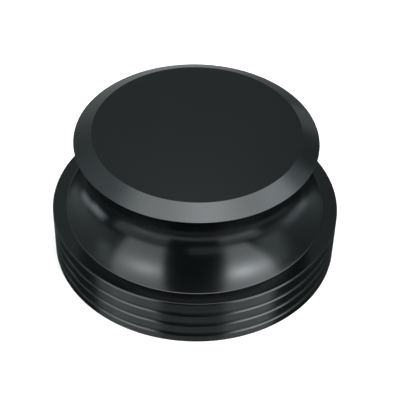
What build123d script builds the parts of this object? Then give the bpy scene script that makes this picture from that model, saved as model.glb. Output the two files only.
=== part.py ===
from build123d import *
from math import radians, tan
import os

# Record weight: one piece turned from aluminium bar, in millimetres.
# It stands on its flat underside. The origin is the underside's centre, and +Z runs up the turning axis.

# Base: a short drum with shallow V grooves turned round its side
base_diameter = 76.0
base_height = 13.8
top_edge_chamfer = 0.3
bottom_edge_chamfer = 0.1
groove_count = 3
groove_width = 1.4
groove_depth = 0.35
top_land_height = 3.1
bottom_land_height = 2.0

# Waist: one hollow arc, from the inner edge of the base's shelf up to the rim of the grip
shelf_width = 3.7
waist_height = 21.55
waist_radius = 16.0

# Grip: a sharp rim, and a bevel that rises to the flat top
rim_diameter = 63.0
bevel_width = 4.6
bevel_height = 2.35

# Bore: a blind drilled hole in the underside, which drops over the record spindle
spindle_diameter = 7.2
spindle_clearance = 0.1
bore_depth = 20.0
bore_mouth_chamfer = 0.6
drill_point_angle = 118.0

# Radii and heights that follow from the sizes above
base_radius = base_diameter / 2
shelf_radius = base_radius - shelf_width
rim_radius = rim_diameter / 2
top_radius = rim_radius - bevel_width
rim_height = base_height + waist_height
overall_height = rim_height + bevel_height
bore_radius = spindle_diameter / 2 + spindle_clearance
bore_tip_height = bore_depth + bore_radius / tan(radians(drill_point_angle / 2))

# Grooves are spaced evenly between the land under the shelf and the land over the underside
groove_half_width = groove_width / 2
lowest_groove_height = bottom_land_height + groove_half_width
highest_groove_height = base_height - top_land_height - groove_half_width
groove_pitch = (highest_groove_height - lowest_groove_height) / (groove_count - 1)


def groove_outline(middle_height):
    """Outline of one V groove, from its lower lip over its root to its upper lip."""
    return [
        (base_radius, middle_height - groove_half_width),
        (base_radius - groove_depth, middle_height),
        (base_radius, middle_height + groove_half_width),
    ]


def base_outline():
    """Outline from the tip of the bore, down and out across the underside, up the side and in over the shelf."""
    points = [
        (0, bore_tip_height),
        (bore_radius, bore_depth),
        (bore_radius, bore_mouth_chamfer),
        (bore_radius + bore_mouth_chamfer, 0),
        (base_radius - bottom_edge_chamfer, 0),
        (base_radius, bottom_edge_chamfer),
    ]
    for index in range(groove_count):
        points += groove_outline(lowest_groove_height + index * groove_pitch)
    points += [
        (base_radius, base_height - top_edge_chamfer),
        (base_radius - top_edge_chamfer, base_height),
        (shelf_radius, base_height),
    ]
    return points


def grip_outline():
    """Outline from the rim up the bevel, in over the flat top and down the axis to the bore."""
    return [
        (rim_radius, rim_height),
        (top_radius, overall_height),
        (0, overall_height),
        (0, bore_tip_height),
    ]


def make_weight_body():
    """Turn the half section once round the axis."""
    with BuildPart() as body:
        with BuildSketch(Plane.XZ):
            with BuildLine():
                Polyline(*base_outline())
                RadiusArc((shelf_radius, base_height), (rim_radius, rim_height), waist_radius)
                Polyline(*grip_outline())
            make_face()
        revolve(axis=Axis.Z)
    return body.part


os.makedirs("parts", exist_ok=True)
export_step(make_weight_body(), "parts/weight_body.step")
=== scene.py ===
from math import cos, hypot, pi, radians, sin, sqrt, tan
from typing import NamedTuple

import bmesh
import bpy
from bpy.props import FloatProperty, FloatVectorProperty, IntProperty, PointerProperty
from mathutils import Matrix, Vector


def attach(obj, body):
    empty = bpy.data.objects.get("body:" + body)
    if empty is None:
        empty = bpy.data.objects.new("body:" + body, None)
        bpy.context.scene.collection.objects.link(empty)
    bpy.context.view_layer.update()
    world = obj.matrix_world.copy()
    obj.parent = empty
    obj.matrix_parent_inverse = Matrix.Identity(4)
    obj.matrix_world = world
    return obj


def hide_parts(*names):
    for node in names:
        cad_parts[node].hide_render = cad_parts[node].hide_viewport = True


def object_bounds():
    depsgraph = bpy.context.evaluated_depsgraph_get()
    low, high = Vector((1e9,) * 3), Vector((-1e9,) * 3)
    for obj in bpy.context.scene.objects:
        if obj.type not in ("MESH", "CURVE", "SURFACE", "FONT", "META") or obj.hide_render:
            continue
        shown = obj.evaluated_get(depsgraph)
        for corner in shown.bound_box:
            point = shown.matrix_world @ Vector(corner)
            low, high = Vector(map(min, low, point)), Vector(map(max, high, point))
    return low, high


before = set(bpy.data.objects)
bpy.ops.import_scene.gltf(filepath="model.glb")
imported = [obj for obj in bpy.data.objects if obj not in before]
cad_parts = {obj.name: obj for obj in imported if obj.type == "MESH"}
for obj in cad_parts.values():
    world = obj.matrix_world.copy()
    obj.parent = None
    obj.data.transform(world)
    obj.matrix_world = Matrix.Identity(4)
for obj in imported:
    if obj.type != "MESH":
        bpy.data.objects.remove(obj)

bl_info = {
    "name": "Record Weight",
    "version": (1, 0, 0),
    "blender": (4, 5, 0),
    "location": "3D View > Sidebar > Record Weight",
    "description": "Turns a black anodised record weight and sets it on a pale studio floor",
    "category": "Add Mesh",
}

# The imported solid's box, before anything is added to it
cad_low, cad_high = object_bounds()

MM = 0.001
MICRON = 0.000001
BODY_NODE = "weight_body"

# How finely the curves are divided
TURN_STEPS = 256
WAIST_STEPS = 40
GROOVE_STEPS = 12
EDGE_STEPS = 6

# Points closer than this become one, and a ring is looked for this close to its place
MERGE_DISTANCE = 0.001 * MM
RING_TOLERANCE = 0.005 * MM

# Bevel profile that leaves a round edge
ROUND_PROFILE = 0.5

# Edges that turn by more than this stay crisp, and faces this level count as faced flats
SHARP_ANGLE = radians(20)
FLAT_SHARE = 0.999

# Material numbers on the body
TURNED, FACED, BORED = range(3)


# Sizes, finish and stage values that a user may change


class WeightSizes(bpy.types.PropertyGroup):
    """Sizes of the turned weight, as on its drawing."""

    # From the smaller half of the box, so that the turned skin stays inside it
    base_diameter: FloatProperty(
        name="Base Diameter",
        description="Across the lands of the grooved base",
        default=2 * min(cad_high.x, -cad_low.x),
        unit="LENGTH",
    )
    overall_height: FloatProperty(
        name="Overall Height",
        description="From the underside to the flat top",
        default=cad_high.z - cad_low.z,
        unit="LENGTH",
    )
    base_height: FloatProperty(
        name="Base Height",
        description="From the underside to the shelf",
        default=13.8 * MM,
        unit="LENGTH",
    )
    top_edge_chamfer: FloatProperty(
        name="Top Edge Chamfer",
        description="Chamfer on the base's upper edge, round the shelf",
        default=0.3 * MM,
        unit="LENGTH",
    )
    bottom_edge_chamfer: FloatProperty(
        name="Bottom Edge Chamfer",
        description="Chamfer on the base's lower edge, round the underside",
        default=0.1 * MM,
        unit="LENGTH",
    )
    groove_count: IntProperty(
        name="Grooves",
        description="Shallow grooves turned round the base",
        default=3,
        min=2,
    )
    groove_width: FloatProperty(
        name="Groove Width",
        description="Width of one groove between its lips",
        default=1.4 * MM,
        unit="LENGTH",
    )
    groove_depth: FloatProperty(
        name="Groove Depth",
        description="Depth of one groove, at the middle of its round bottom",
        default=0.35 * MM,
        unit="LENGTH",
    )
    top_land_height: FloatProperty(
        name="Top Land",
        description="Plain side between the shelf and the highest groove",
        default=3.1 * MM,
        unit="LENGTH",
    )
    bottom_land_height: FloatProperty(
        name="Bottom Land",
        description="Plain side between the underside and the lowest groove",
        default=2.0 * MM,
        unit="LENGTH",
    )
    shelf_width: FloatProperty(
        name="Shelf Width",
        description="Flat ledge between the base's edge and the foot of the waist",
        default=3.7 * MM,
        unit="LENGTH",
    )
    waist_radius: FloatProperty(
        name="Waist Radius",
        description="Radius of the hollow arc between shelf and rim",
        default=16.0 * MM,
        unit="LENGTH",
    )
    rim_diameter: FloatProperty(
        name="Rim Diameter",
        description="Across the sharp rim of the grip",
        default=63.0 * MM,
        unit="LENGTH",
    )
    bevel_width: FloatProperty(
        name="Bevel Width",
        description="How far the bevel runs in from the rim",
        default=4.6 * MM,
        unit="LENGTH",
    )
    bevel_height: FloatProperty(
        name="Bevel Height",
        description="How far the bevel rises from the rim to the flat top",
        default=2.35 * MM,
        unit="LENGTH",
    )
    bore_diameter: FloatProperty(
        name="Bore Diameter",
        description="Blind hole that drops over the spindle",
        default=7.4 * MM,
        unit="LENGTH",
    )
    bore_depth: FloatProperty(
        name="Bore Depth",
        description="Depth of the bore's straight wall",
        default=20.0 * MM,
        unit="LENGTH",
    )
    bore_mouth_chamfer: FloatProperty(
        name="Bore Mouth Chamfer",
        description="Chamfer round the bore's mouth",
        default=0.6 * MM,
        unit="LENGTH",
    )
    drill_point_angle: FloatProperty(
        name="Drill Point",
        description="Angle of the cone at the end of the bore",
        default=radians(118),
        subtype="ANGLE",
    )
    tool_nose_radius: FloatProperty(
        name="Tool Nose Radius",
        description="Radius that the turning tool leaves where the waist meets the shelf",
        default=0.4 * MM,
        unit="LENGTH",
    )
    edge_break: FloatProperty(
        name="Edge Break",
        description="How far the base's upper corners and the edge of the flat top are broken",
        default=0.06 * MM,
        unit="LENGTH",
    )
    rim_break: FloatProperty(
        name="Rim Break",
        description="How far the rim of the grip is broken",
        default=0.08 * MM,
        unit="LENGTH",
    )


class WeightFinish(bpy.types.PropertyGroup):
    """Colours and surface of the anodised finish."""

    dye_colour: FloatVectorProperty(
        name="Dye",
        description="Black of the dyed anodic layer",
        default=(0.0005, 0.0009, 0.0010),
        subtype="COLOR",
        size=3,
        min=0.0,
        max=1.0,
    )
    faced_colour: FloatVectorProperty(
        name="Faced Flats",
        description="Dark sheen of the faced flats, which mirror less than the turned sides at a low angle",
        default=(0.040, 0.040, 0.040),
        subtype="COLOR",
        size=3,
        min=0.0,
        max=1.0,
    )
    rubbed_colour: FloatVectorProperty(
        name="Rubbed Edge",
        description="Lighter tone where hands and sleeves rub an edge",
        default=(0.003, 0.0036, 0.004),
        subtype="COLOR",
        size=3,
        min=0.0,
        max=1.0,
    )
    roughness: FloatProperty(
        name="Roughness",
        description="Roughness of the satin surface",
        default=0.15,
        min=0.0,
        max=1.0,
        subtype="FACTOR",
    )
    mark_pitch: FloatProperty(
        name="Mark Pitch",
        description="Distance between the fine rings that the turning tool leaves",
        default=0.3 * MM,
        unit="LENGTH",
    )
    mark_depth: FloatProperty(
        name="Mark Depth",
        description="Depth of those rings",
        default=1.0 * MICRON,
        unit="LENGTH",
        precision=6,
    )


class StageSettings(bpy.types.PropertyGroup):
    """Floor and studio light."""

    floor_colour: FloatVectorProperty(
        name="Floor",
        description="Colour of the pale floor",
        default=(0.99, 0.94, 0.92),
        subtype="COLOR",
        size=3,
        min=0.0,
        max=1.0,
    )
    light_strength: FloatProperty(
        name="Light Strength",
        description="Strength of all the studio lights together",
        default=1.0,
        min=0.0,
    )


# The turned body


def run_to(bm, tip, radius, height):
    """Run the open end of the half section straight to a point, and return the new end."""
    end = bmesh.ops.extrude_vert_indiv(bm, verts=[tip])["verts"][0]
    end.co = (radius, 0.0, height)
    return end


def hollow_arc(start, end, radius):
    """Centre of a hollow arc between two points, on the outer side, and the angle that it turns through."""
    chord = end - start
    half = chord.length / 2
    if radius <= half:
        raise ValueError("the arc's radius is too small to reach from one end to the other")
    outwards = Vector((chord.z, 0.0, -chord.x)).normalized()
    centre = (start + end) / 2 + outwards * sqrt(radius**2 - half**2)
    return centre, (start - centre).angle(end - centre)


def sweep_to(bm, tip, radius, height, arc_radius, steps):
    """Sweep the open end of the half section along a hollow arc to a point, and return the new end."""
    centre, angle = hollow_arc(tip.co.copy(), Vector((radius, 0.0, height)), arc_radius)
    swept = bmesh.ops.spin(
        bm,
        geom=[tip],
        cent=centre,
        axis=(0.0, 1.0, 0.0),
        angle=angle,
        steps=steps,
        use_merge=False,
        use_duplicate=False,
    )
    return [part for part in swept["geom_last"] if isinstance(part, bmesh.types.BMVert)][0]


def draw_bore(bm, sizes):
    """Draw the bore from its drill point down to its mouth, and return the open end."""
    radius = sizes.bore_diameter / 2
    tip_height = sizes.bore_depth + radius / tan(sizes.drill_point_angle / 2)
    tip = bm.verts.new((0.0, 0.0, tip_height))
    tip = run_to(bm, tip, radius, sizes.bore_depth)
    tip = run_to(bm, tip, radius, sizes.bore_mouth_chamfer)
    return run_to(bm, tip, radius + sizes.bore_mouth_chamfer, 0.0)


def draw_base(bm, tip, sizes):
    """Draw the underside, the grooved side and the shelf, and return the open end."""
    radius = sizes.base_diameter / 2
    half_width = sizes.groove_width / 2
    groove_radius = (half_width**2 + sizes.groove_depth**2) / (2 * sizes.groove_depth)
    lowest = sizes.bottom_land_height + half_width
    highest = sizes.base_height - sizes.top_land_height - half_width
    pitch = (highest - lowest) / (sizes.groove_count - 1)
    tip = run_to(bm, tip, radius - sizes.bottom_edge_chamfer, 0.0)
    tip = run_to(bm, tip, radius, sizes.bottom_edge_chamfer)
    for index in range(sizes.groove_count):
        middle = lowest + index * pitch
        tip = run_to(bm, tip, radius, middle - half_width)
        tip = sweep_to(bm, tip, radius, middle + half_width, groove_radius, GROOVE_STEPS)
    tip = run_to(bm, tip, radius, sizes.base_height - sizes.top_edge_chamfer)
    tip = run_to(bm, tip, radius - sizes.top_edge_chamfer, sizes.base_height)
    return run_to(bm, tip, radius - sizes.shelf_width, sizes.base_height)


def draw_grip(bm, tip, sizes):
    """Draw the hollow waist, the bevel and the flat top, in to the axis."""
    rim_radius = sizes.rim_diameter / 2
    rim_height = sizes.overall_height - sizes.bevel_height
    tip = sweep_to(bm, tip, rim_radius, rim_height, sizes.waist_radius, WAIST_STEPS)
    tip = run_to(bm, tip, rim_radius - sizes.bevel_width, sizes.overall_height)
    run_to(bm, tip, 0.0, sizes.overall_height)


def turn_section(bm):
    """Turn the half section once round the axis into a closed skin whose faces point outwards."""
    bmesh.ops.spin(
        bm,
        geom=bm.verts[:] + bm.edges[:],
        cent=(0.0, 0.0, 0.0),
        axis=(0.0, 0.0, 1.0),
        angle=2 * pi,
        steps=TURN_STEPS,
        use_merge=True,
        use_duplicate=False,
    )
    bmesh.ops.remove_doubles(bm, verts=bm.verts[:], dist=MERGE_DISTANCE)
    bmesh.ops.recalc_face_normals(bm, faces=bm.faces[:])


def ring_at(bm, radius, height):
    """Edges of the ring that passes through a point of the half section."""

    def on_ring(vert):
        return (
            abs(hypot(vert.co.x, vert.co.y) - radius) < RING_TOLERANCE
            and abs(vert.co.z - height) < RING_TOLERANCE
        )

    edges = [edge for edge in bm.edges if on_ring(edge.verts[0]) and on_ring(edge.verts[1])]
    if not edges:
        raise ValueError("no ring of edges was found to round")
    return edges


def round_ring(bm, radius, height, width):
    """Round the edge at a ring, and keep the faces beside it flat in shading."""
    made = bmesh.ops.bevel(
        bm,
        geom=ring_at(bm, radius, height),
        offset=width,
        offset_type="OFFSET",
        affect="EDGES",
        segments=EDGE_STEPS,
        profile=ROUND_PROFILE,
        clamp_overlap=True,
        loop_slide=True,
        material=-1,
    )
    strip = set(made["faces"])
    for face in strip:
        for edge in face.edges:
            if not strip.issuperset(edge.link_faces):
                edge.smooth = False


def break_edges(bm, sizes):
    """Leave the tool's radius at the foot of the waist, and break the outer edges as a light file would."""
    base_radius = sizes.base_diameter / 2
    chamfer = sizes.top_edge_chamfer
    rim = Vector((sizes.rim_diameter / 2, 0.0, sizes.overall_height - sizes.bevel_height))
    foot = Vector((base_radius - sizes.shelf_width, 0.0, sizes.base_height))
    centre, _ = hollow_arc(foot, rim, sizes.waist_radius)
    lean = (foot - centre).angle(Vector((0.0, 0.0, -1.0)))
    round_ring(bm, foot.x, foot.z, sizes.tool_nose_radius * tan(lean / 2))
    round_ring(bm, base_radius - chamfer, sizes.base_height, sizes.edge_break)
    round_ring(bm, base_radius, sizes.base_height - chamfer, sizes.edge_break)
    round_ring(bm, rim.x - sizes.bevel_width, sizes.overall_height, sizes.edge_break)
    round_ring(bm, rim.x, rim.z, sizes.rim_break)


def shade_and_sort_faces(bm, bore_radius):
    """Shade smooth between crisp edges, and give faced, turned and bored faces their own material."""
    for edge in bm.edges:
        if len(edge.link_faces) == 2 and edge.calc_face_angle() > SHARP_ANGLE:
            edge.smooth = False
    for face in bm.faces:
        face.smooth = True
        middle = face.calc_center_median()
        # The flat top lies over the bore, but isn't part of it
        if hypot(middle.x, middle.y) < bore_radius and face.normal.z < FLAT_SHARE:
            face.material_index = BORED
        elif abs(face.normal.z) > FLAT_SHARE:
            face.material_index = FACED
        else:
            face.material_index = TURNED


# Finish

# Refractive index of the anodic layer
LAYER_IOR = 1.5

# Size of the clouds of handling haze, and how far they smooth and roughen the surface
HAZE_SIZE = 14 * MM
HAZE_SMOOTHING = 0.015
HAZE_ROUGHENING = 0.025

# How far the turning marks lighten the dye, and how far they roughen the surface
MARK_SHADE = 0.2
MARK_ROUGHENING = 0.04

# How much smoother a rubbed edge is, and how much lighter on the faced flats
RUBBED_SMOOTHING = 0.04
RUBBED_GAIN = 1.2

# Widths of the rubbed bands along the edges
TOP_RUB = 0.25 * MM
RIM_RUB = 0.3 * MM
BASE_RUB = 0.5 * MM
FOOT_RUB = 0.4 * MM
MOUTH_RUB = 0.8 * MM

# Tint that dims what the faced flats mirror at a low angle
FACED_EDGE_TINT = (0.4, 0.4, 0.4, 1.0)


def add_node(tree, kind, place, **settings):
    """Add one node to a tree, at a place in the node editor, with its settings."""
    node = tree.nodes.new(kind)
    node.location = place
    for name, value in settings.items():
        setattr(node, name, value)
    return node


def math_node(tree, operation, place, first, second=None):
    """Add a maths node whose inputs are sockets or plain numbers, and return its result."""
    node = add_node(tree, "ShaderNodeMath", place, operation=operation)
    for socket, value in zip(node.inputs, (first, second)):
        if value is None:
            continue
        if isinstance(value, bpy.types.NodeSocket):
            tree.links.new(value, socket)
        else:
            socket.default_value = value
    return node.outputs["Value"]


def fade_out(tree, place, distance):
    """Add a soft fade from 1 to 0 as a distance grows, and return its node."""
    fade = add_node(tree, "ShaderNodeMapRange", place, interpolation_type="SMOOTHSTEP")
    tree.links.new(distance, fade.inputs["Value"])
    fade.inputs["To Min"].default_value = 1.0
    fade.inputs["To Max"].default_value = 0.0
    return fade


def new_group(name, inputs, outputs):
    """Start a shader node group with named sockets, and return the tree and its two end nodes."""
    tree = bpy.data.node_groups.new(name, "ShaderNodeTree")
    for label, kind in inputs:
        tree.interface.new_socket(label, in_out="INPUT", socket_type=kind)
    for label, kind in outputs:
        tree.interface.new_socket(label, in_out="OUTPUT", socket_type=kind)
    start = add_node(tree, "NodeGroupInput", (-900, 0))
    end = add_node(tree, "NodeGroupOutput", (700, 0))
    return tree, start, end


def section_coordinates(tree, position):
    """X, Y, radius and height of a point of the body, as sockets."""
    parts = add_node(tree, "ShaderNodeSeparateXYZ", (-700, 0))
    tree.links.new(position, parts.inputs[0])
    across, along, height = parts.outputs
    across_squared = math_node(tree, "MULTIPLY", (-500, 200), across, across)
    along_squared = math_node(tree, "MULTIPLY", (-500, 60), along, along)
    squared = math_node(tree, "ADD", (-340, 140), across_squared, along_squared)
    radius = math_node(tree, "SQRT", (-180, 140), squared)
    return across, along, radius, height


def turning_marks_group():
    """Fine rings round the axis, as a turning tool leaves them, that drift a little round the turn."""
    tree, start, end = new_group(
        "Turning marks",
        [("Position", "NodeSocketVector"), ("Pitch", "NodeSocketFloat"), ("Drift", "NodeSocketFloat")],
        [("Rings", "NodeSocketFloat")],
    )
    across, along, radius, height = section_coordinates(tree, start.outputs["Position"])
    cosine = math_node(tree, "DIVIDE", (-20, 40), across, radius)
    sine = math_node(tree, "DIVIDE", (-20, -120), along, radius)
    outwards = math_node(tree, "DIVIDE", (140, 240), radius, start.outputs["Pitch"])
    upwards = math_node(tree, "DIVIDE", (140, 80), height, start.outputs["Pitch"])
    drift_cosine = math_node(tree, "MULTIPLY", (140, -80), cosine, start.outputs["Drift"])
    drift_sine = math_node(tree, "MULTIPLY", (140, -240), sine, start.outputs["Drift"])
    joined = add_node(tree, "ShaderNodeCombineXYZ", (320, 120))
    tree.links.new(outwards, joined.inputs["X"])
    tree.links.new(upwards, joined.inputs["Y"])
    tree.links.new(drift_cosine, joined.inputs["Z"])
    noise = add_node(tree, "ShaderNodeTexNoise", (500, 60), noise_dimensions="4D")
    noise.inputs["Scale"].default_value = 1.0
    noise.inputs["Detail"].default_value = 2.0
    noise.inputs["Roughness"].default_value = 0.55
    tree.links.new(joined.outputs["Vector"], noise.inputs["Vector"])
    tree.links.new(drift_sine, noise.inputs["W"])
    tree.links.new(noise.outputs["Fac"], end.inputs["Rings"])
    return tree


def rubbed_ring_group():
    """Soft mask along one edge of the body, given by its radius and height."""
    tree, start, end = new_group(
        "Rubbed ring",
        [
            ("Position", "NodeSocketVector"),
            ("Ring Radius", "NodeSocketFloat"),
            ("Ring Height", "NodeSocketFloat"),
            ("Width", "NodeSocketFloat"),
        ],
        [("Mask", "NodeSocketFloat")],
    )
    _, _, radius, height = section_coordinates(tree, start.outputs["Position"])
    out = math_node(tree, "SUBTRACT", (140, 240), radius, start.outputs["Ring Radius"])
    up = math_node(tree, "SUBTRACT", (140, 80), height, start.outputs["Ring Height"])
    out_squared = math_node(tree, "MULTIPLY", (300, 240), out, out)
    up_squared = math_node(tree, "MULTIPLY", (300, 80), up, up)
    squared = math_node(tree, "ADD", (420, 160), out_squared, up_squared)
    distance = math_node(tree, "SQRT", (520, 160), squared)
    fade = fade_out(tree, (560, -40), distance)
    tree.links.new(start.outputs["Width"], fade.inputs["From Max"])
    tree.links.new(fade.outputs["Result"], end.inputs["Mask"])
    return tree


def handling_haze_group():
    """Soft clouds, as fingers and cleaning leave on a satin surface."""
    tree, start, end = new_group(
        "Handling haze",
        [("Position", "NodeSocketVector"), ("Size", "NodeSocketFloat")],
        [("Haze", "NodeSocketFloat")],
    )
    scale = add_node(tree, "ShaderNodeVectorMath", (-600, 0), operation="DIVIDE")
    tree.links.new(start.outputs["Position"], scale.inputs[0])
    size = add_node(tree, "ShaderNodeCombineXYZ", (-760, -160))
    for socket in size.inputs:
        tree.links.new(start.outputs["Size"], socket)
    tree.links.new(size.outputs["Vector"], scale.inputs[1])
    noise = add_node(tree, "ShaderNodeTexNoise", (-400, 0))
    noise.inputs["Scale"].default_value = 1.0
    noise.inputs["Detail"].default_value = 3.0
    noise.inputs["Distortion"].default_value = 0.4
    tree.links.new(scale.outputs["Vector"], noise.inputs["Vector"])
    spread = add_node(tree, "ShaderNodeMapRange", (-160, 0), interpolation_type="SMOOTHSTEP")
    spread.inputs["From Min"].default_value = 0.3
    spread.inputs["From Max"].default_value = 0.7
    tree.links.new(noise.outputs["Fac"], spread.inputs["Value"])
    tree.links.new(spread.outputs["Result"], end.inputs["Haze"])
    return tree


def mix_colours(tree, place, mask, first, second):
    """Blend from one plain colour to another by a mask, and return the colour."""
    node = add_node(tree, "ShaderNodeMix", place, data_type="RGBA")
    tree.links.new(mask, node.inputs["Factor"])
    ends = [socket for socket in node.inputs if socket.type == "RGBA"]
    for socket, colour in zip(ends, (first, second)):
        socket.default_value = (*colour, 1.0)
    return [socket for socket in node.outputs if socket.type == "RGBA"][0]


def place_group(tree, group, place, position, **values):
    """Place a node group in a material, reading the body's own coordinates, with its own values."""
    node = add_node(tree, "ShaderNodeGroup", place, node_tree=group)
    tree.links.new(position, node.inputs["Position"])
    for name, value in values.items():
        node.inputs[name.replace("_", " ")].default_value = value
    return node


class RubbedEdge(NamedTuple):
    """An edge that hands and sleeves rub: the ring that it runs along, and how wide it is rubbed."""

    radius: float
    height: float
    width: float


class ToolMarks(NamedTuple):
    """How the marks of one kind of cut differ from the finish's own pitch, depth and roughness."""

    pitch_share: float
    drift: float
    depth_share: float
    added_roughness: float


TURNED_MARKS = ToolMarks(pitch_share=1.0, drift=0.6, depth_share=1.0, added_roughness=0.0)
FACED_MARKS = ToolMarks(pitch_share=1.3, drift=0.4, depth_share=1.0, added_roughness=0.03)
BORED_MARKS = ToolMarks(pitch_share=0.7, drift=1.5, depth_share=3.0, added_roughness=0.12)


def rubbed_mask(tree, group, position, edges):
    """Join the soft masks along the rubbed edges, and return the joined mask."""
    joined = None
    for index, edge in enumerate(edges):
        lift = -250 - 220 * index
        ring = place_group(
            tree,
            group,
            (-600, lift),
            position,
            Ring_Radius=edge.radius,
            Ring_Height=edge.height,
            Width=edge.width,
        )
        mask = ring.outputs["Mask"]
        joined = mask if joined is None else math_node(tree, "MAXIMUM", (-300, lift), joined, mask)
    return joined


def anodised_material(name, colours, groups, edges, finish, tool):
    """Black anodised aluminium: turning marks, rubbed edges and a faint haze over a satin dye layer."""
    material = bpy.data.materials.new(name)
    material.use_nodes = True
    tree = material.node_tree
    shader = tree.nodes["Principled BSDF"]
    shader.location = (900, 0)
    tree.nodes["Material Output"].location = (1200, 0)
    shader.inputs["IOR"].default_value = LAYER_IOR
    marks_group, ring_group, haze_group = groups
    position = add_node(tree, "ShaderNodeTexCoord", (-900, 0)).outputs["Object"]

    pitch = finish.mark_pitch * tool.pitch_share
    marks = place_group(tree, marks_group, (-600, 300), position, Pitch=pitch, Drift=tool.drift)
    haze = place_group(tree, haze_group, (-600, 0), position, Size=HAZE_SIZE)
    rubbed = rubbed_mask(tree, ring_group, position, edges)

    shade = math_node(tree, "MULTIPLY", (0, 250), marks.outputs["Rings"], MARK_SHADE)
    shade = math_node(tree, "MAXIMUM", (200, 250), shade, rubbed)
    dye = mix_colours(tree, (500, 250), shade, *colours)
    tree.links.new(dye, shader.inputs["Base Color"])

    roughness = finish.roughness + tool.added_roughness
    gloss = add_node(tree, "ShaderNodeMapRange", (0, 0))
    gloss.inputs["To Min"].default_value = roughness - HAZE_SMOOTHING
    gloss.inputs["To Max"].default_value = roughness + HAZE_ROUGHENING
    tree.links.new(haze.outputs["Haze"], gloss.inputs["Value"])
    grain = math_node(tree, "MULTIPLY", (200, 100), marks.outputs["Rings"], MARK_ROUGHENING)
    grained = math_node(tree, "ADD", (400, 60), gloss.outputs["Result"], grain)
    worn = math_node(tree, "MULTIPLY", (400, -100), rubbed, RUBBED_SMOOTHING)
    smoothed = math_node(tree, "SUBTRACT", (600, 0), grained, worn)
    tree.links.new(smoothed, shader.inputs["Roughness"])

    bump = add_node(tree, "ShaderNodeBump", (600, -250))
    bump.inputs["Strength"].default_value = 1.0
    bump.inputs["Distance"].default_value = finish.mark_depth * tool.depth_share
    tree.links.new(marks.outputs["Rings"], bump.inputs["Height"])
    tree.links.new(bump.outputs["Normal"], shader.inputs["Normal"])
    return material


def anodised_materials(sizes, finish):
    """The three materials of the body: turned sides, faced flats and the drilled bore."""
    groups = (turning_marks_group(), rubbed_ring_group(), handling_haze_group())
    base_radius = sizes.base_diameter / 2
    rim_radius = sizes.rim_diameter / 2
    rim_height = sizes.overall_height - sizes.bevel_height
    half_chamfer = sizes.bore_mouth_chamfer / 2
    top_edge = RubbedEdge(rim_radius - sizes.bevel_width, sizes.overall_height, TOP_RUB)
    rim_edge = RubbedEdge(rim_radius, rim_height, RIM_RUB)
    base_edge = RubbedEdge(base_radius, sizes.base_height, BASE_RUB)
    foot_edge = RubbedEdge(base_radius, 0.0, FOOT_RUB)
    mouth_edge = RubbedEdge(sizes.bore_diameter / 2 + half_chamfer, half_chamfer, MOUTH_RUB)
    dyed = (finish.dye_colour, finish.rubbed_colour)
    sheen = (finish.faced_colour, [RUBBED_GAIN * part for part in finish.faced_colour])
    turned = anodised_material(
        "black_anodised_turned",
        dyed,
        groups,
        [top_edge, rim_edge, base_edge, foot_edge],
        finish,
        TURNED_MARKS,
    )
    faced = anodised_material(
        "black_anodised_faced",
        sheen,
        groups,
        [top_edge, base_edge, foot_edge, mouth_edge],
        finish,
        FACED_MARKS,
    )
    shader = faced.node_tree.nodes["Principled BSDF"]
    shader.inputs["Metallic"].default_value = 1.0
    shader.inputs["Specular Tint"].default_value = FACED_EDGE_TINT
    bored = anodised_material("black_anodised_bored", dyed, groups, [mouth_edge], finish, BORED_MARKS)
    return turned, faced, bored


class RECORDWEIGHT_OT_body(bpy.types.Operator):
    """Turn the weight from its half section, and anodise it black"""

    bl_idname = "record_weight.body"
    bl_label = "Turn Weight Body"
    bl_options = {"REGISTER", "UNDO"}

    def execute(self, context):
        sizes = context.scene.weight_sizes
        finish = context.scene.weight_finish
        bm = bmesh.new()
        tip = draw_bore(bm, sizes)
        tip = draw_base(bm, tip, sizes)
        draw_grip(bm, tip, sizes)
        turn_section(bm)
        break_edges(bm, sizes)
        shade_and_sort_faces(bm, sizes.bore_diameter / 2)
        mesh = bpy.data.meshes.new("turned_weight")
        bm.to_mesh(mesh)
        bm.free()
        for material in anodised_materials(sizes, finish):
            mesh.materials.append(material)
        body = bpy.data.objects.new("turned_weight", mesh)
        context.scene.collection.objects.link(body)
        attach(body, "root")
        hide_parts(BODY_NODE)
        return {"FINISHED"}


# Stage

# The floor lies this far under the weight, so that the two faces don't flicker
FLOOR_GAP = 0.02 * MM

# How far the floor reaches from its middle to each side, in metres
FLOOR_REACH = 4.0


def lay_floor(context, stage):
    """Lay the pale floor, which shows from above only, so that the underside can be seen from below.

    The weight's gloss shows the studio light alone, without the floor.
    """
    bm = bmesh.new()
    drop = Matrix.Translation((0.0, 0.0, -FLOOR_GAP))
    bmesh.ops.create_grid(bm, x_segments=1, y_segments=1, size=FLOOR_REACH, matrix=drop)
    mesh = bpy.data.meshes.new("floor")
    bm.to_mesh(mesh)
    bm.free()
    floor = bpy.data.objects.new("floor", mesh)
    context.scene.collection.objects.link(floor)
    floor.visible_glossy = False
    floor.visible_shadow = False

    material = bpy.data.materials.new("pale_floor")
    material.use_nodes = True
    tree = material.node_tree
    shader = tree.nodes["Principled BSDF"]
    shader.inputs["Base Color"].default_value = (*stage.floor_colour, 1.0)
    shader.inputs["Roughness"].default_value = 1.0
    shader.inputs["Specular IOR Level"].default_value = 0.0
    side = add_node(tree, "ShaderNodeNewGeometry", (0, 500))
    clear = add_node(tree, "ShaderNodeBsdfTransparent", (0, -400))
    mix = add_node(tree, "ShaderNodeMixShader", (300, 0))
    output = tree.nodes["Material Output"]
    output.location = (500, 0)
    tree.links.new(side.outputs["Backfacing"], mix.inputs["Fac"])
    tree.links.new(shader.outputs["BSDF"], mix.inputs[1])
    tree.links.new(clear.outputs["BSDF"], mix.inputs[2])
    tree.links.new(mix.outputs["Shader"], output.inputs["Surface"])
    mesh.materials.append(material)


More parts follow.
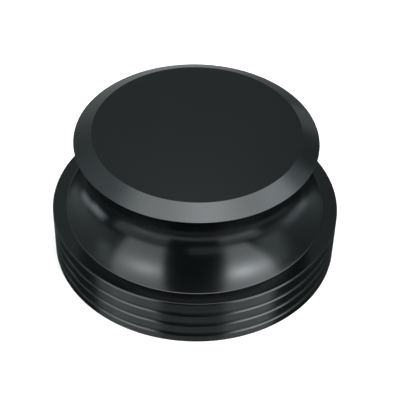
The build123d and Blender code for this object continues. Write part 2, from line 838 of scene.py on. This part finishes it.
class Lamp(NamedTuple):
    """A lamp behind a softbox's cloth: where it stands, in degrees, and how much light it adds there."""

    across: float
    up: float
    radiance: float


class LightPanel(NamedTuple):
    """One soft panel of light: its edges in degrees as the weight sees it, their softness and its radiance.

    Its lean is how far one side moves out for each degree of height.
    The right side leans, or the left if the lean is negative.
    """

    name: str
    side: str
    left: float
    right: float
    low: float
    high: float
    softness: float
    radiance: float
    lamp: Lamp = Lamp(0, 0, 0.0)
    lean: float = 0.0


# Front angles are bearings from the camera's side and heights above level.
# Back angles are the same, from behind.
# Overhead angles are counted from straight up, with the low edge behind and the high edge in front.
FRONT, BACK, OVERHEAD = "front", "back", "overhead"

# Degrees from the lamp at which its light on the cloth has dropped to half
LAMP_WIDTH = 16
LAMP_HEIGHT = 10

# The softboxes, and the table and the rear wall that they light.
# Each panel's name and side, its left, right, low and high edge, softness, radiance, lamp and lean.
LAMP_LIGHT = (
    LightPanel("left softbox", FRONT, -70, -26, -26, 58, 5, 1.5, Lamp(-41, 19, 5.0), -0.15),
    LightPanel("right softbox", FRONT, 28, 67, -30, 58, 10, 1.8, Lamp(43, 21, 8.0), 0.4),
    LightPanel("overhead softbox", OVERHEAD, -29, 43, -25, 28, 14, 2.8, Lamp(6, 8, 3.4)),
    LightPanel("left table", FRONT, -85, -26, -60, -28, 6, 0.48),
    LightPanel("right table", FRONT, 26, 71, -75, -34, 6, 0.58),
    LightPanel("left table edge", FRONT, -70, -26, -50, -42, 4, 0.4),
    LightPanel("front table edge", FRONT, -26, 26, -55, -48, 4, 0.6),
    LightPanel("right table edge", FRONT, 26, 66, -50, -43, 4, 0.5),
    LightPanel("rear wall", BACK, -40, 22, -40, 30, 14, 0.2),
    LightPanel("rear left wall", BACK, -36, 4, -40, 30, 14, 0.26),
    LightPanel("rear right wall", BACK, 22, 36, 0, 14, 8, 0.42),
)

# The cooler light that comes back from the room
ROOM_LIGHT = (
    LightPanel("whole room", FRONT, -200, 200, -100, 100, 4, 0.04),
    LightPanel("left wall", FRONT, -140, -72, -20, 62, 16, 0.36),
    LightPanel("left near wall", FRONT, -86, -75, 2, 28, 10, 0.6),
    LightPanel("left upper wall", FRONT, -140, -72, 36, 72, 30, 0.6),
    LightPanel("left strip", FRONT, -119, -98, -36, -25, 8, 1.15),
    LightPanel("left rear strip", FRONT, -136, -119, -32, -22, 8, 0.7),
    LightPanel("right wall", FRONT, 58, 150, -40, 40, 8, 0.2),
    LightPanel("right near wall", FRONT, 60, 84, -26, 24, 16, 0.55),
    LightPanel("right upper wall", FRONT, 74, 126, 32, 60, 12, 1.1),
    LightPanel("right strip", FRONT, 94, 132, -34, -23, 8, 0.3),
    LightPanel("front card", FRONT, -5, 27, -32, -18, 6, 0.4),
    LightPanel("rear upper wall", BACK, -40, 13, 22, 62, 16, 0.37),
    LightPanel("rear middle strip", BACK, -14, 14, 28, 38, 5, 0.2),
    LightPanel("rear high strip", BACK, -6, 6, 41, 60, 4, 0.45),
)

# Tints of the two lights, and the pale backdrop that the camera sees past the floor
LAMP_COLOUR = (0.94, 1.0, 1.02, 1.0)
ROOM_COLOUR = (0.86, 1.0, 1.04, 1.0)
BACKDROP_COLOUR = (0.95, 0.95, 0.95, 1.0)

# Distance from one panel to the next in the node editor
PANEL_SPACING = 200


def edge_fade(tree, place, angle, middle, half, half_soft):
    """Mask of a panel between two opposite edges, full inside and fading over its softness."""
    x, y = place
    offset = math_node(tree, "SUBTRACT", place, angle, middle)
    distance = math_node(tree, "ABSOLUTE", (x + 160, y), offset)
    inner = math_node(tree, "SUBTRACT", (x + 160, y - 120), half, half_soft)
    outer = math_node(tree, "ADD", (x + 160, y - 240), half, half_soft)
    fade = fade_out(tree, (x + 400, y), distance)
    tree.links.new(inner, fade.inputs["From Min"])
    tree.links.new(outer, fade.inputs["From Max"])
    return fade.outputs["Result"]


def lamp_offset(tree, place, angle, lamp_angle, reach):
    """Square of the angle between a direction and the lamp, counted in the lamp's reach."""
    x, y = place
    aside = math_node(tree, "SUBTRACT", place, angle, lamp_angle)
    share = math_node(tree, "DIVIDE", (x + 160, y), aside, reach)
    return math_node(tree, "MULTIPLY", (x + 320, y), share, share)


def light_panel_group():
    """A soft-edged panel of light, by two angles in degrees, added to the light before it."""
    tree, start, end = new_group(
        "Light panel",
        [
            ("Light Before", "NodeSocketFloat"),
            ("Across", "NodeSocketFloat"),
            ("Up", "NodeSocketFloat"),
            ("Middle Across", "NodeSocketFloat"),
            ("Middle Up", "NodeSocketFloat"),
            ("Half Width", "NodeSocketFloat"),
            ("Half Height", "NodeSocketFloat"),
            ("Lean", "NodeSocketFloat"),
            ("Softness", "NodeSocketFloat"),
            ("Radiance", "NodeSocketFloat"),
            ("Lamp Across", "NodeSocketFloat"),
            ("Lamp Up", "NodeSocketFloat"),
            ("Lamp Radiance", "NodeSocketFloat"),
        ],
        [("Light", "NodeSocketFloat")],
    )
    start.location.x = -1600
    across = start.outputs["Across"]
    up = start.outputs["Up"]
    half_height = start.outputs["Half Height"]
    middle_up = start.outputs["Middle Up"]
    half_soft = math_node(tree, "MULTIPLY", (-700, -300), start.outputs["Softness"], 0.5)

    # A leaning side moves the panel's middle and widens it, by half of its own way each
    rise = math_node(tree, "SUBTRACT", (-1400, 500), up, middle_up)
    half_rise = math_node(tree, "MULTIPLY", (-1240, 500), rise, 0.5)
    shift = math_node(tree, "MULTIPLY", (-1080, 500), half_rise, start.outputs["Lean"])
    steepness = math_node(tree, "ABSOLUTE", (-1240, 700), start.outputs["Lean"])
    growth = math_node(tree, "MULTIPLY", (-1080, 700), half_rise, steepness)
    middle_across = math_node(tree, "ADD", (-700, 500), start.outputs["Middle Across"], shift)
    half_width = math_node(tree, "ADD", (-700, 700), start.outputs["Half Width"], growth)
    across_mask = edge_fade(tree, (-500, 300), across, middle_across, half_width, half_soft)
    up_mask = edge_fade(tree, (-500, -300), up, middle_up, half_height, half_soft)
    window = math_node(tree, "MULTIPLY", (260, 200), across_mask, up_mask)

    across_offset = lamp_offset(tree, (-500, -60), across, start.outputs["Lamp Across"], LAMP_WIDTH)
    up_offset = lamp_offset(tree, (-500, -660), up, start.outputs["Lamp Up"], LAMP_HEIGHT)
    spread = math_node(tree, "ADD", (-20, -60), across_offset, 1.0)
    spread = math_node(tree, "ADD", (-20, -660), up_offset, spread)
    glow = math_node(tree, "DIVIDE", (140, -200), start.outputs["Lamp Radiance"], spread)
    cloth = math_node(tree, "ADD", (260, -100), start.outputs["Radiance"], glow)
    light = math_node(tree, "MULTIPLY", (400, 0), cloth, window)
    total = math_node(tree, "ADD", (540, 0), light, start.outputs["Light Before"])
    tree.links.new(total, end.inputs["Light"])
    return tree


def angle_between(tree, place, opposite, adjacent):
    """Angle in degrees whose tangent is one part of the direction over another."""
    turned = math_node(tree, "ARCTAN2", place, opposite, adjacent)
    return math_node(tree, "DEGREES", (place[0] + 160, place[1]), turned)


def panel_angles(tree):
    """The two angles that panels on each side are measured by, as sockets."""
    direction = add_node(tree, "ShaderNodeTexCoord", (-1500, 0)).outputs["Generated"]
    parts = add_node(tree, "ShaderNodeSeparateXYZ", (-1300, 0))
    tree.links.new(direction, parts.inputs[0])
    right, back, up = parts.outputs
    front = math_node(tree, "MULTIPLY", (-1100, -200), back, -1.0)
    rise = math_node(tree, "ARCSINE", (-1100, 0), up)
    height = math_node(tree, "DEGREES", (-940, 0), rise)
    return {
        FRONT: (angle_between(tree, (-1100, 200), right, front), height),
        BACK: (angle_between(tree, (-1100, 400), right, back), height),
        OVERHEAD: (
            angle_between(tree, (-1100, 600), right, up),
            angle_between(tree, (-1100, 800), front, up),
        ),
    }


def hang_panels(tree, group, angles, panels, place, colour, strength):
    """Hang a row of panels, and return the background that they shine from together."""
    light = None
    x, y = place
    for panel in panels:
        node = add_node(tree, "ShaderNodeGroup", (x, y), node_tree=group, label=panel.name)
        x += PANEL_SPACING
        for socket, angle in zip(("Across", "Up"), angles[panel.side]):
            tree.links.new(angle, node.inputs[socket])
        node.inputs["Middle Across"].default_value = (panel.left + panel.right) / 2
        node.inputs["Middle Up"].default_value = (panel.low + panel.high) / 2
        node.inputs["Half Width"].default_value = (panel.right - panel.left) / 2
        node.inputs["Half Height"].default_value = (panel.high - panel.low) / 2
        node.inputs["Lean"].default_value = panel.lean
        node.inputs["Softness"].default_value = panel.softness
        node.inputs["Radiance"].default_value = panel.radiance * strength
        node.inputs["Lamp Across"].default_value = panel.lamp.across
        node.inputs["Lamp Up"].default_value = panel.lamp.up
        node.inputs["Lamp Radiance"].default_value = panel.lamp.radiance * strength
        if light is not None:
            tree.links.new(light, node.inputs["Light Before"])
        light = node.outputs["Light"]
    background = add_node(tree, "ShaderNodeBackground", (x, y))
    background.inputs["Color"].default_value = colour
    tree.links.new(light, background.inputs["Strength"])
    return background.outputs["Background"]


def set_world(context, strength):
    """Light the weight from soft panels all round, and show a pale backdrop behind the floor."""
    world = bpy.data.worlds.new("studio")
    world.use_nodes = True
    context.scene.world = world
    tree = world.node_tree
    output = tree.nodes["World Output"]
    backdrop = tree.nodes["Background"]
    backdrop.inputs["Color"].default_value = BACKDROP_COLOUR
    group = light_panel_group()
    angles = panel_angles(tree)
    lamps = hang_panels(tree, group, angles, LAMP_LIGHT, (-600, 600), LAMP_COLOUR, strength)
    room = hang_panels(tree, group, angles, ROOM_LIGHT, (-600, 0), ROOM_COLOUR, strength)
    studio = add_node(tree, "ShaderNodeAddShader", (3600, 300))
    tree.links.new(lamps, studio.inputs[0])
    tree.links.new(room, studio.inputs[1])
    paths = add_node(tree, "ShaderNodeLightPath", (3600, 700))
    mix = add_node(tree, "ShaderNodeMixShader", (3800, 300))
    tree.links.new(paths.outputs["Is Camera Ray"], mix.inputs["Fac"])
    tree.links.new(studio.outputs["Shader"], mix.inputs[1])
    tree.links.new(backdrop.outputs["Background"], mix.inputs[2])
    backdrop.location = (3600, 100)
    output.location = (4000, 300)
    tree.links.new(mix.outputs["Shader"], output.inputs["Surface"])


# The photograph's camera, fitted to the ellipses that the weight's edges make in it
CAMERA_ELEVATION = radians(44.626)
CAMERA_DISTANCE = 326.8 * MM
CAMERA_ROLL = radians(1.271)
CAMERA_PITCH = radians(-1.748)
CAMERA_YAW = radians(-0.23)
CAMERA_NEAR = 10 * MM

# The focal length is fitted in pixels of the picture, and the camera takes it in millimetres of its sensor
PICTURE_WIDTH = 400
FOCAL_PIXELS = 1184
SENSOR_WIDTH = 36.0
FOCAL_LENGTH = FOCAL_PIXELS / PICTURE_WIDTH * SENSOR_WIDTH


def place_camera(context):
    """Place the camera above the weight's front, at the photograph's angle and frame."""
    camera = bpy.data.cameras.new("camera")
    camera.sensor_width = SENSOR_WIDTH
    camera.lens = FOCAL_LENGTH
    camera.clip_start = CAMERA_NEAR
    holder = bpy.data.objects.new("camera", camera)
    back = Vector((0.0, -cos(CAMERA_ELEVATION), sin(CAMERA_ELEVATION)))
    right = Vector((1.0, 0.0, 0.0))
    up = back.cross(right)
    # The rows are the picture's right, down and forward directions
    level = Matrix((right, -up, -back))
    aimed = Matrix.Rotation(CAMERA_ROLL, 3, "Z")
    aimed = aimed @ Matrix.Rotation(CAMERA_PITCH, 3, "X")
    aimed = aimed @ Matrix.Rotation(CAMERA_YAW, 3, "Y")
    aimed = aimed @ level
    # The camera's own axes are right, up and backward
    axes = Matrix((aimed[0], -aimed[1], -aimed[2]))
    place = Matrix.Translation(back * CAMERA_DISTANCE)
    holder.matrix_world = place @ axes.transposed().to_4x4()
    context.scene.collection.objects.link(holder)
    context.scene.camera = holder


class RECORDWEIGHT_OT_stage(bpy.types.Operator):
    """Lay the floor, hang the studio lights and place the camera"""

    bl_idname = "record_weight.stage"
    bl_label = "Set Up Stage"
    bl_options = {"REGISTER", "UNDO"}

    def execute(self, context):
        stage = context.scene.weight_stage
        lay_floor(context, stage)
        set_world(context, stage.light_strength)
        place_camera(context)
        context.scene.view_settings.view_transform = "Standard"
        context.scene.view_settings.look = "None"
        return {"FINISHED"}


class RECORDWEIGHT_PT_panel(bpy.types.Panel):
    """Sizes, finish and stage of the record weight"""

    bl_idname = "RECORDWEIGHT_PT_panel"
    bl_label = "Record Weight"
    bl_space_type = "VIEW_3D"
    bl_region_type = "UI"
    bl_category = "Record Weight"

    def draw(self, context):
        scene = context.scene
        for title, group, operator in (
            ("Sizes", scene.weight_sizes, None),
            ("Finish", scene.weight_finish, "record_weight.body"),
            ("Stage", scene.weight_stage, "record_weight.stage"),
        ):
            box = self.layout.box()
            box.label(text=title)
            for name in group.__annotations__:
                box.prop(group, name)
            if operator:
                box.operator(operator)


CLASSES = (
    WeightSizes,
    WeightFinish,
    StageSettings,
    RECORDWEIGHT_OT_body,
    RECORDWEIGHT_OT_stage,
    RECORDWEIGHT_PT_panel,
)


def register():
    """Add the weight's classes and its settings to Blender."""
    for kind in CLASSES:
        bpy.utils.register_class(kind)
    bpy.types.Scene.weight_sizes = PointerProperty(type=WeightSizes)
    bpy.types.Scene.weight_finish = PointerProperty(type=WeightFinish)
    bpy.types.Scene.weight_stage = PointerProperty(type=StageSettings)


def unregister():
    """Take the settings and the classes out of Blender again."""
    del bpy.types.Scene.weight_stage
    del bpy.types.Scene.weight_finish
    del bpy.types.Scene.weight_sizes
    for kind in reversed(CLASSES):
        bpy.utils.unregister_class(kind)


def main():
    """Build the weight and its stage."""
    register()
    bpy.ops.record_weight.body()
    bpy.ops.record_weight.stage()


if __name__ == "__main__":
    main()
